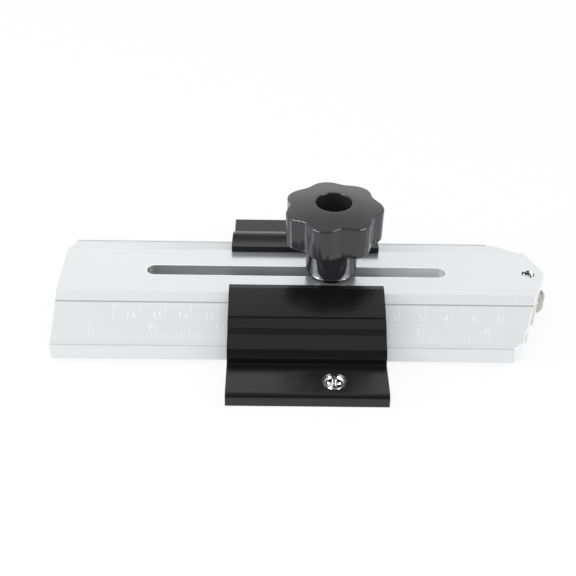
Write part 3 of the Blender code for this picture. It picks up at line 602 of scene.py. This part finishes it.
# The node's own faces, merged and made whole, with a small bevel on each sharp edge.
def makeExtruded(node, material, body, look):
    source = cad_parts[node].data
    faces = np.empty(len(source.loops), np.int32)
    source.loops.foreach_get("vertex_index", faces)
    mesh = newMesh(pointsOf(source), faces.reshape(-1, 3))
    partMesh(mesh, look["parted"])
    points = pointsOf(mesh)
    out, height = np.abs(points[:, 1]), points[:, 2].copy()
    for (near, far), (low, high), drop in look["lowered"]:
        points[:, 2] -= drop * ((out > near) & (out < far) & (height > low) & (height < high))
    placePoints(mesh, points)
    mergeDoubles(mesh, flatAngle=0.4)
    piece = addPiece("extruded", mesh, material, body, node)
    bevel = piece.modifiers.new("edge break", "BEVEL")
    bevel.width = look["width"] * mm
    bevel.segments = look["segments"]
    bevel.limit_method = "ANGLE"
    bevel.angle_limit = math.radians(look["sharperThan"])
    bevel.use_clamp_overlap = False
    bevel.miter_outer = "MITER_ARC"
    piece.modifiers.move(len(piece.modifiers) - 1, 0)


makeExtruded("base", blackAnodised, "base", extrusionEdges)
makeExtruded("rule_bar", clearAnodised, "bar", barEdges)
print("extrusions dressed")


# star knob

knobForm = {
    "lobes": 7,
    "turn": -3.0,  # degrees
    "tipRadius": 19.5,
    "valleyRadius": 17.0,
    "fullness": 0.3,  # 0 is a plain cosine, more makes the lobes broader
    "headHeight": 13.4,
    "dome": 1.9,
    "domePower": 1.3,
    "rimRound": 0.8,
    "rimStart": 14.0,  # degrees, where the rim takes over from the dome
    "bottomRound": 0.9,
    "draft": 0.25,
    "holeRadius": 7.0,
    "holeRound": 0.4,
    "hubRadius": 10.1,
    "hubFlare": 0.25,  # wider towards the head
    "hubRound": 0.8,
    "boreRadius": 4.8,
    "shoulderHeight": 10.0,  # of the step inside, over the hub's lower end
    "columns": 336,
}


# Rows of radius and height round the whole knob. The outline is lobe = valley + (tip - valley) x
# (w + fullness w (1 - w)), w = (1 + cos(lobes x angle)) / 2. The top is a dome whose height falls with
# the distance from the hole alone, by dome x (distance / its greatest)^power, cut off at the outline.
def makeKnob(form):
    angle = roundTurn(form["columns"])
    wave = 0.5 * (1 + np.cos(form["lobes"] * (angle - math.radians(form["turn"]))))
    wave = wave + form["fullness"] * wave * (1 - wave)
    lobe = form["valleyRadius"] + (form["tipRadius"] - form["valleyRadius"]) * wave

    bottom, top = (corner[2] for corner in cadCorners("star_knob"))
    headBottom = top - form["dome"] - form["headHeight"]
    shoulder = bottom + form["shoulderHeight"]
    neck = form["hubRadius"] + form["hubFlare"]
    rimRound, bottomRound, hubRound = form["rimRound"], form["bottomRound"], form["hubRound"]
    draft = form["draft"]
    quarter = np.linspace(0, math.pi / 2, 9)[:, None]
    inward, onward = 1 - np.cos(quarter), 1 - np.sin(quarter)  # along a rounded corner
    wall = np.linspace(0, 1, 8)[1:-1, None]
    blocks = []

    # adds rows, of a radius and a height that may leave out either axis
    def rows(radius, height):
        radius, height, _ = np.broadcast_arrays(radius, height, angle)
        blocks.append((radius, height))

    hole, holeRound = form["holeRadius"], form["holeRound"]
    rows(hole, np.linspace(shoulder, top - holeRound, 6)[:, None])
    rows(hole + holeRound * inward[1:], top - holeRound * onward[1:])

    start = math.radians(form["rimStart"])
    domeStart = hole + holeRound
    domeEnd = lobe - rimRound * (1 - math.sin(start))
    domeRadius = domeStart + (domeEnd - domeStart) * np.linspace(0, 1, 19)[1:, None]
    fall = (domeRadius - domeStart) / (form["tipRadius"] - rimRound - domeStart)
    domeHeight = top - form["dome"] * fall ** form["domePower"]
    rows(domeRadius, domeHeight)
    turn = start + (math.pi / 2 - start) * np.linspace(0, 1, 9)[1:, None]
    rimCentre = domeHeight[-1:] - rimRound * math.cos(start)
    rows(lobe - rimRound * (1 - np.sin(turn)), rimCentre + rimRound * np.cos(turn))

    wallBottom = headBottom + bottomRound
    rows(lobe - draft * wall, rimCentre + (wallBottom - rimCentre) * wall)
    rows(lobe - (draft + bottomRound * inward), headBottom + bottomRound * onward)
    share = np.linspace(1, 0, 8)[1:, None]
    underside = share * (lobe - draft - bottomRound) + (1 - share) * (neck + hubRound)
    rows(underside, headBottom)
    rows(neck + hubRound * onward[1:], headBottom - hubRound * inward[1:])
    rows(neck - form["hubFlare"] * wall,
         headBottom - hubRound + (bottom + 2 * hubRound - headBottom) * wall)
    rows(form["hubRadius"] - hubRound * inward, bottom + hubRound * onward)
    rows(form["boreRadius"], np.array([[bottom], [shoulder]]))

    radius, height = stackRows(*blocks)
    mesh = turnedMesh(radius, height, closed=True)
    addPiece("moulded", mesh, knobPlastic, "knob", "star_knob")


makeKnob(knobForm)
print("knob made")


# screws, stud, washer and insert

crossScrew = {
    "columns": 144,
    "crossSpan": 5.2,
    "crossWidth": 1.5,
    "crossDepth": 1.5,
    "wallRun": 0.3,  # how far the recess's side walls lean
    "endRun": 2.0,  # how far its arm ends lean
    "crown": 0.06,  # of the head's top
    "rim": 0.3,  # width and height of the head's edge
    "coneTop": (0.2, 0.5),  # in from the edge, down from the top
    "shankRadius": 2.0,
    "pitch": 0.7,
}


# A head whose top is a height over a disc: depth x the least of 1, side gap / wall run and end gap
# / end run of the nearer arm of the cross. A cone and a threaded shank follow in the same rows.
def makeCrossScrew(node, material, form):
    low, high = cadCorners(node)
    centre = ((low[0] + high[0]) / 2, (low[1] + high[1]) / 2)
    headRadius, headTop = (high[0] - low[0]) / 2, high[2]
    columns, rim, crown, shank = (form[key] for key in ("columns", "rim", "crown", "shankRadius"))
    angle = roundTurn(columns)
    distance = np.linspace(0, headRadius - rim, 72)[:, None]
    x, y = np.abs(distance * np.cos(angle)), np.abs(distance * np.sin(angle))

    def arm(along, across):
        side = (form["crossWidth"] / 2 - across) / form["wallRun"]
        end = (form["crossSpan"] / 2 - along) / form["endRun"]
        return np.clip(np.minimum(side, end), 0, 1)

    recess = form["crossDepth"] * np.maximum(arm(x, y), arm(y, x))
    top = np.broadcast_to(distance, recess.shape), headTop - crown * (distance / headRadius) ** 2 - recess
    headFoot = headTop - (headRadius - shank)
    coneIn, coneDown = form["coneTop"]
    side = [(headRadius - rim - 0.01, headTop - crown), (headRadius, headTop - rim),
            (headRadius - coneIn, headTop - coneDown), (shank, headFoot - 0.2)]
    side = roundProfile(softCorners(side, 0.2, closed=False), columns)
    thread = threadRows(low[2], headFoot - 0.25, shank, form["pitch"], columns, shank - 0.5)
    point = roundProfile([(shank - 0.6, low[2]), (0, low[2])], columns)
    radius, height = stackRows(top, side, thread, point)
    addPiece("crosshead", turnedMesh(radius, height, centre), material, "base", node)


makeCrossScrew("front_screw", metals["brightZincFront"], crossScrew)
makeCrossScrew("rear_screw", metals["brightZincRear"], crossScrew)

studThread = {"pitch": 1.0, "columns": 96, "pointRadius": 2.3}


# Rows of a thread between two flat ends.
def makeStud(form):
    low, high = cadCorners("clamp_stud")
    columns, pointRadius = form["columns"], form["pointRadius"]
    thread = threadRows(low[2], high[2], high[0], form["pitch"], columns, pointRadius, rowsPerTurn=12)
    top = roundProfile([(0, high[2]), (pointRadius - 0.05, high[2])], columns)
    foot = roundProfile([(pointRadius - 0.05, low[2]), (0, low[2])], columns)
    mesh = turnedMesh(*stackRows(top, thread, foot))
    addPiece("threaded", mesh, metals["brightZincStud"], "base", "clamp_stud")


makeStud(studThread)

washerEdges = {"columns": 160, "round": 0.6, "boreRadius": 3.3}
insertForm = {"columns": 128, "round": 0.22, "boreRadius": 3.3, "bodyRadius": 4.5, "flangeRadius": 6.2,
              "flangeHeight": 1.5}


# A turned ring with rounded edges. Its section is (radius, height) points, outer side downwards, or
# the radius of its bore, and then the ring is as wide and high as its node.
def makeRing(node, name, section, material, body, look, centre=(0, 0)):
    if isinstance(section, float):
        low, high = cadCorners(node)
        outer = (high[0] - low[0]) / 2
        section = [(section, high[2]), (outer, high[2]), (outer, low[2]), (section, low[2])]
    radius, height = roundProfile(softCorners(section, look["round"]), look["columns"])
    mesh = turnedMesh(radius, height, centre, closed=True)
    addPiece(name, mesh, material, body, node)


# A turned ring whose upper end is a wider flange.
def makeInsert(form):
    low, high = (corner[2] for corner in cadCorners("knob_insert"))
    bore, body, flange = form["boreRadius"], form["bodyRadius"], form["flangeRadius"]
    foot = high - form["flangeHeight"]
    section = (bore, high), (flange, high), (flange, foot), (body, foot), (body, low), (bore, low)
    makeRing("knob_insert", "turned", section, metals["insertBrass"], "knob", form)


makeRing("clamp_washer", "turned", washerEdges["boreRadius"], metals["polishedWasher"], "washer",
         washerEdges)
makeInsert(insertForm)
print("clamp made")


# nose bearing

bearingEdges = {"columns": 144, "round": 0.35}
shieldEdges = {"columns": 96, "round": 0.08}
bearingForm = {
    # bore, inner ring, inside of the outer ring, shields' seat in it, outer ring
    "ringRadii": (2.5, 4.3, 6.2, 6.9, 8.0),
    "seatDepth": 0.4,
    # radii along a shield's outside and back along its inside, in pairs: flange, lip, rim
    "shieldRadii": (4.6, 5.0, 5.3, 6.0, 6.2, 6.6, 6.6, 6.1, 5.9, 5.4, 5.1, 4.6),
    "shieldThickness": 0.45,  # share of its height
}


# Two rings and two pressed shields, each a section turned about the bearing's axis.
def makeBearing(form):
    half = (bearingHigh[2] - bearingLow[2]) / 2
    middle = bearingCentre[2]
    centre = bearingCentre[:2]
    bore, inner, race, seat, outer = form["ringRadii"]

    def at(profile):
        return [(radius, middle + height) for radius, height in profile]

    deep = half - form["seatDepth"]
    section = at([(seat, half), (outer, half), (outer, -half), (seat, -half), (seat, -deep),
                  (race, -deep), (race, deep), (seat, deep)])
    steel = metals["groundBearingSteel"]
    makeRing("bearing_outer_ring", "ground", section, steel, "bearing_outer",
             bearingEdges, centre)
    section = at([(bore, half), (inner, half), (inner, -half), (bore, -half)])
    makeRing("bearing_inner_ring", "ground", section, steel, "bar", bearingEdges,
             centre)
    for side in ("top", "bottom"):
        low, high = cadCorners("bearing_shield_" + side)
        lip, sink = (high[2], low[2]) if side == "top" else (low[2], high[2])
        thin = (sink - lip) * form["shieldThickness"]
        heights = np.repeat([sink - thin, lip, sink - thin, sink, lip + thin, sink], 2)
        section = list(zip(form["shieldRadii"], heights))
        if side == "bottom":
            section = section[::-1]
        makeRing("bearing_shield_" + side, "pressed", section, steel, "bearing_outer",
                 shieldEdges, centre)


makeBearing(bearingForm)

noseScrew = {"columns": 96, "pitch": 0.8, "headRadius": 4.2, "headHeight": 1.6, "shankRadius": 2.2,
             "socketRadius": 1.75, "socketDepth": 0.9, "socketBevel": 0.12}


# Rows from the tip down the threaded shank, round the flat head and into its six sided socket,
# whose radius is the flat's distance over cos of the angle from the nearest flat.
def makeNoseScrew(form):
    low, high = (corner[2] for corner in cadCorners("bearing_screw"))
    columns, shank, bevel = form["columns"], form["shankRadius"], form["socketBevel"]
    headTop = low + form["headHeight"]
    tip = roundProfile([(0, high), (shank - 0.45, high)], columns)
    thread = threadRows(headTop, high, shank, form["pitch"], columns, shank - 0.4)
    headRadius = form["headRadius"]
    head = [(shank, headTop - 0.001), (headRadius, headTop), (headRadius, low), (shank, low)]
    head = softCorners(head, 0.3, closed=False)
    angle = roundTurn(columns)
    sixth = math.pi / 3
    fold = (angle + sixth / 2) % sixth - sixth / 2
    hexagon = form["socketRadius"] * math.cos(sixth / 2) / np.cos(fold)
    depth = np.array([[0.0], [bevel], [form["socketDepth"]], [form["socketDepth"]]])
    radius = np.stack([hexagon + bevel, hexagon, hexagon, hexagon * 0])
    socket = radius, low + np.broadcast_to(depth, radius.shape)
    rows = stackRows(tip, thread, roundProfile(head, columns), socket)
    mesh = turnedMesh(*rows, bearingCentre[:2])
    addPiece("socketed", mesh, metals["brightZincNose"], "bar", "bearing_screw")


makeNoseScrew(noseScrew)
spacerEdges = {"columns": 96, "round": 0.15, "boreRadius": 2.5}
makeRing("bearing_spacer", "turned", spacerEdges["boreRadius"], metals["brightZincNose"], "bar",
         spacerEdges, bearingCentre[:2])

# the cage and the balls stay the CAD's own
nodeLooks = {"bearing_ball_%d" % number: "groundBearingSteel" for number in range(1, 8)}
for nodeName, look in {"bearing_cage": "cageBrass", **nodeLooks}.items():
    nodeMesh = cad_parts[nodeName].data
    nodeMesh.materials.clear()
    nodeMesh.materials.append(metals[look])
print("bearing made")


# scales, whitened on the front slope's panel

scaleForm = {
    "panelTop": (19.0, 2.5),  # the panel's upper edge: out from the axis, down from the bar's top
    "panelFoot": (36.55, 10.0),
    "zero": 85.75,  # X of the millimetre scale's zero
    "firstMillimetre": 20,
    "lastMillimetre": 170,
    "inchZero": 85.1,
    "firstInch": 1,
    "lastInch": 7,
    "tickTop": 0.1,  # down the slope, for all millimetre ticks
    "millimetreLength": 2.7,
    "fiveLength": 3.6,
    "tenLength": 7.2,
    "inchFoot": 16.12,  # down the slope, for all inch ticks
    "inchLengths": (3.0, 3.4, 3.8, 4.4, 6.4),  # sixteenth, eighth, quarter, half, whole
    "tickWidth": 0.2,
    "thickness": 0.015,
    "lastCentimetre": 16,  # numbered
    "lastInchNumber": 6,
    "digitHeight": 3.2,
    "digitWidth": 1.0,  # stretch of the digits
    "millimetreDigits": 5.73,  # down the slope, middle of the digits
    "inchDigits": 10.83,
    "digitGap": 0.9,  # from a number to its tick
    "digitMerge": 0.002,  # a digit's points nearer than this are one
    "capShare": 0.70,  # height of a digit, of the font's size
}
barTop = cadCorners("rule_bar")[1][2]


# A point on the panel by X, distance down its slope and lift off it: y and z step by the cosine and
# the sine of the slope between the panel's two edges.
def onSlope(along, down, lift, form):
    out, under = form["panelTop"]
    footOut, footUnder = form["panelFoot"]
    length = math.hypot(footOut - out, footUnder - under)
    level, fall = (footOut - out) / length, (footUnder - under) / length
    y = -(out + down * level + lift * fall)
    z = barTop - under - down * fall + lift * level
    return np.stack(np.broadcast_arrays(along, y, z), axis=-1)


# Ticks as thin plates: eight corners each, from all places at once. Tops or feet may be one for all.
def makeTicks(name, places, tops, feet, form):
    side = np.tile([-1, 1, 1, -1], 2) * form["tickWidth"] / 2
    atFoot = np.tile([0, 0, 1, 1], 2)
    lift = np.repeat([0, 1], 4) * form["thickness"]
    along = places[:, None] + side
    down = np.outer(tops, 1 - atFoot) + np.outer(feet, atFoot)
    points = onSlope(along, down, lift, form).reshape(-1, 3)
    plate = np.array([[1, 2, 3, 0], [7, 6, 5, 4], [4, 5, 1, 0], [5, 6, 2, 1], [6, 7, 3, 2], [7, 4, 0, 3]])
    faces = (plate[None] + 8 * np.arange(len(places))[:, None, None]).reshape(-1, 4)
    addPiece(name, newMesh(points, faces), whiteMarks, "bar")


# Numbers as text made into meshes, laid on the slope with their right ends at zero - n x unit - gap.
def makeNumbers(name, numbers, zero, unit, down, form):
    text = bpy.data.curves.new(name, "FONT")
    text.size = form["digitHeight"] / form["capShare"] * mm
    text.extrude = form["thickness"] / 2 * mm
    text.align_x, text.align_y = "RIGHT", "CENTER"
    carrier = addObject(name, text)
    joined = bmesh.new()
    for number in numbers:
        place = zero - number * unit - form["digitGap"]
        text.body = str(number)
        graph = bpy.context.evaluated_depsgraph_get()
        graph.update()
        made = bpy.data.meshes.new_from_object(carrier.evaluated_get(graph))
        x, y, z = pointsOf(made).T
        middle = (y.max() + y.min()) / 2
        placePoints(made, onSlope((x - x.max()) * form["digitWidth"] + place, down - (y - middle),
                                  z + form["thickness"] / 2, form))
        joined.from_mesh(made)
        bpy.data.meshes.remove(made)
    bpy.data.objects.remove(carrier)
    mesh = bpy.data.meshes.new(name)
    bmesh.ops.remove_doubles(joined, verts=joined.verts, dist=form["digitMerge"] * mm)
    joined.to_mesh(mesh)
    joined.free()
    addPiece(name, mesh, whiteMarks, "bar")


inch = 25.4  # millimetres


# Ticks go left from each zero by a millimetre and by a sixteenth of an inch.
def makeScales(form):
    count = np.arange(form["firstMillimetre"], form["lastMillimetre"] + 1)
    length = np.where(count % 10 == 0, form["tenLength"],
                      np.where(count % 5 == 0, form["fiveLength"], form["millimetreLength"]))
    top = form["tickTop"]
    makeTicks("millimetre_ticks", form["zero"] - count, top, top + length, form)

    count = np.arange(form["firstInch"] * 16, form["lastInch"] * 16 + 1)
    rank = sum(count % step == 0 for step in (2, 4, 8, 16))
    foot = form["inchFoot"]
    top = foot - np.array(form["inchLengths"])[rank]
    makeTicks("inch_ticks", form["inchZero"] - count * inch / 16, top, foot, form)

    numbers = range(form["firstMillimetre"] // 10, form["lastCentimetre"] + 1)
    makeNumbers("centimetre_numbers", numbers, form["zero"], 10, form["millimetreDigits"], form)
    numbers = range(form["firstInch"], form["lastInchNumber"] + 1)
    makeNumbers("inch_numbers", numbers, form["inchZero"], inch, form["inchDigits"], form)


makeScales(scaleForm)
print("scales marked")


# floor, world, lamps and camera

studio = {
    "floorSize": 6.0,
    "floorColour": 0.9,
    "floorGlow": 0.88,  # share of plain white that the camera sees on the floor
    "skyFill": 0.78,  # strength of the world and the canopy for diffuse light
    "canopyRadius": 1.4,  # metres, as all lengths here
    "canopyHalfLength": 1.05,
    # degrees from the front horizon, over the top, and tone there
    "canopyTones": ((0.0, 0.08), (35.0, 0.09), (60.0, 0.22), (90.0, 0.46), (130.0, 0.75), (140.0, 1.0),
                    (150.0, 1.05), (158.0, 1.15), (168.0, 1.0), (179.5, 0.7)),
    "backCard": (0.2, 0.06, -0.085, 0.06),  # behind the clamp's axis, height, its two ends
    "backCardTone": 0.03,
    "glintCards": {"leftCard": (-0.64, -0.286, 0.711), "rightCard": (0.64, -0.286, 0.711)},  # middles
    "glintSize": (0.62, 0.16),  # width, height
    "glintTone": 26.0,
    "lamps": {
        # name: (place, aim, size, power) in metres and watts
        "keySoftbox": ((-0.1, -0.3, 1.0), (0.0, 0.0, 0.02), 0.8, 2.6),
        "leftSoftbox": ((-0.95, -0.15, 0.45), (0.0, 0.0, 0.03), 0.5, 2.0),
        "leftStrip": ((-1.0, -0.45, 0.38), (0.0, 0.0, 0.03), 0.2, 1.5),
        "rightStrip": ((1.0, -0.45, 0.38), (0.0, 0.0, 0.03), 0.17, 1.0),
    },
    "hiddenInGloss": ("keySoftbox",),
}


# A piece of the studio from points in metres. Its surface is what a function makes of its node tree.
def addStage(name, materialName, points, faces, surfaceIn):
    piece = addObject(name, newMesh(np.array(points, float) / mm, np.array(faces)))
    material, tree, _ = newMaterial(materialName, 0.9, specular=0.0)
    tree.links.new(surfaceIn(tree), tree.nodes["Material Output"].inputs["Surface"])
    piece.data.materials.append(material)


def emission(tree, strength):
    return addNode(tree, "Emission", {"Color": (1, 1, 1, 1), "Strength": strength}).outputs[0]


# 1 for camera, glossy and transmission rays, 0 for the light that falls on things.
def sceneRays(tree):
    path = addNode(tree, "LightPath").outputs
    seen = maths(tree, "MAXIMUM", path["Is Camera Ray"], path["Is Glossy Ray"])
    return maths(tree, "MAXIMUM", seen, path["Is Transmission Ray"])


def makeFloor(look):
    def surfaceIn(tree):
        matt = tree.nodes["Principled BSDF"]
        matt.inputs["Base Color"].default_value = (*(look["floorColour"],) * 3, 1)
        glow = times(tree, sceneRays(tree), look["floorGlow"])
        return addNode(tree, "MixShader", {0: glow, 1: matt.outputs[0], 2: emission(tree, 1.0)}).outputs[0]

    half = look["floorSize"] / 2
    points = [(-half, -half, 0), (half, -half, 0), (half, half, 0), (-half, half, 0)]
    addStage("floor", "paleFloor", points, [[0, 1, 2, 3]], surfaceIn)


def makeWorld(look):
    world = bpy.context.scene.world = bpy.data.worlds.new("studioWorld")
    world.use_nodes = True
    tree = world.node_tree
    background = tree.nodes["Background"]
    background.inputs["Color"].default_value = (1, 1, 1, 1)
    feed(background, "Strength", scaled(tree, sceneRays(tree), 0.0, 1.0, look["skyFill"]))


# A half pipe along X over the camera and the object. Its tone in reflections follows the angle from the
# front horizon, its light on matt surfaces is the world's, and to the camera it is white.
def makeCanopy(look):
    def surfaceIn(tree):
        _, y, z = axesOf(tree, placeOn(tree))
        degrees = times(tree, maths(tree, "ARCTAN2", z, times(tree, y, -1.0)), 180 / math.pi)
        tone = look["canopyTones"][0][1]
        for (low, before), (high, after) in zip(look["canopyTones"], look["canopyTones"][1:]):
            tone = added(tree, scaled(tree, degrees, low, high, 0.0, after - before), tone)
        path = addNode(tree, "LightPath").outputs
        glossy = addNode(tree, "Mix", {0: path["Is Glossy Ray"], 2: look["skyFill"], 3: tone}).outputs[0]
        seen = maths(tree, "MAXIMUM", path["Is Camera Ray"], path["Is Transmission Ray"])
        return emission(tree, addNode(tree, "Mix", {0: seen, 2: glossy, 3: 1.0}).outputs[0])

    angle = np.radians(np.linspace(0, look["canopyTones"][-1][0], 60))[:, None]
    along = np.array([[-1.0, 1.0]]) * look["canopyHalfLength"]
    y, z = -np.cos(angle) * look["canopyRadius"], np.sin(angle) * look["canopyRadius"]
    points = np.stack(np.broadcast_arrays(along, y, z), axis=-1).reshape(-1, 3)
    row = np.arange(len(angle) - 1)[:, None] * 2
    addStage("canopy", "canopyCloth", points, row + np.array([[0, 1, 3, 2]]), surfaceIn)


# A flat card with four corners in metres and a tone, seen only in reflections.
def makeCard(name, corners, tone):
    def surfaceIn(tree):
        clear = addNode(tree, "BsdfTransparent").outputs[0]
        gloss = addNode(tree, "LightPath").outputs["Is Glossy Ray"]
        return addNode(tree, "MixShader", {0: gloss, 1: clear, 2: emission(tree, tone)}).outputs[0]

    addStage(name, name, corners, [[0, 1, 2, 3]], surfaceIn)


# A low dark card behind the object, and two bright ones that face the clamp from the front: corners =
# place +- half the width along a level +- half the height at right angles to both.
def makeCards(look):
    away, height, left, right = look["backCard"]
    foot = 0.0005  # off the floor
    corners = [(left, foot), (right, foot), (right, height), (left, height)]
    makeCard("backCard", [(x, away, z) for x, z in corners], look["backCardTone"])
    width, height = look["glintSize"]
    for name, place in look["glintCards"].items():
        level = np.cross((0.0, 0.0, 1.0), place)
        level *= width / 2 / np.linalg.norm(level)
        upright = np.cross(place, level)
        upright *= height / 2 / np.linalg.norm(upright)
        sides = [(-1, -1), (1, -1), (1, 1), (-1, 1)]
        makeCard(name, [place + across * level + up * upright for across, up in sides], look["glintTone"])


# Turn a thing's -Z to a target: about X by the angle off straight down, then about Z by the heading.
def aimAt(thing, target):
    direction = np.array(target) - np.array(thing.location)
    thing.rotation_euler = (math.atan2(math.hypot(direction[0], direction[1]), -direction[2]), 0,
                            math.atan2(-direction[0], direction[1]))


def makeLamps(look):
    for name, (place, aim, size, power) in look["lamps"].items():
        lamp = bpy.data.lights.new(name, "AREA")
        lamp.size = size
        lamp.energy = power
        carrier = addObject(name, lamp)
        carrier.location = place
        carrier.visible_glossy = name not in look["hiddenInGloss"]
        aimAt(carrier, aim)


photoCamera = {
    "place": (-23.09, -376.81, 271.13),
    "down": 34.738,  # degrees below the horizon
    "right": 0.937,  # degrees to the right of +Y
    "roll": 1.208,  # degrees
    "focalPixels": 1137.57,
    "frame": 576,  # pixels across
    "sensor": 36.0,
}


# Columns of the camera's matrix: its right, its up and its back, from pitch, turn and roll.
def makeCamera(view):
    down, turn, roll = (math.radians(view[key]) for key in ("down", "right", "roll"))
    forward = np.array([math.sin(turn) * math.cos(down), math.cos(turn) * math.cos(down), -math.sin(down)])
    level = np.array([math.cos(turn), -math.sin(turn), 0.0])
    upright = np.cross(level, forward)
    right = math.cos(roll) * level + math.sin(roll) * upright
    up = -math.sin(roll) * level + math.cos(roll) * upright
    matrix = np.eye(4)
    matrix[:3, :3] = np.stack([right, up, -forward], axis=1)
    matrix[:3, 3] = np.array(view["place"]) * mm
    data = bpy.data.cameras.new("photoCamera")
    data.sensor_width = view["sensor"]
    data.lens = view["focalPixels"] * view["sensor"] / view["frame"]
    camera = addObject("photoCamera", data)
    camera.matrix_world = Matrix(matrix.tolist())
    bpy.context.scene.camera = camera


makeFloor(studio)
makeWorld(studio)
makeCanopy(studio)
makeCards(studio)
makeLamps(studio)
makeCamera(photoCamera)
bpy.context.scene.view_settings.view_transform = "Standard"
print("studio set")
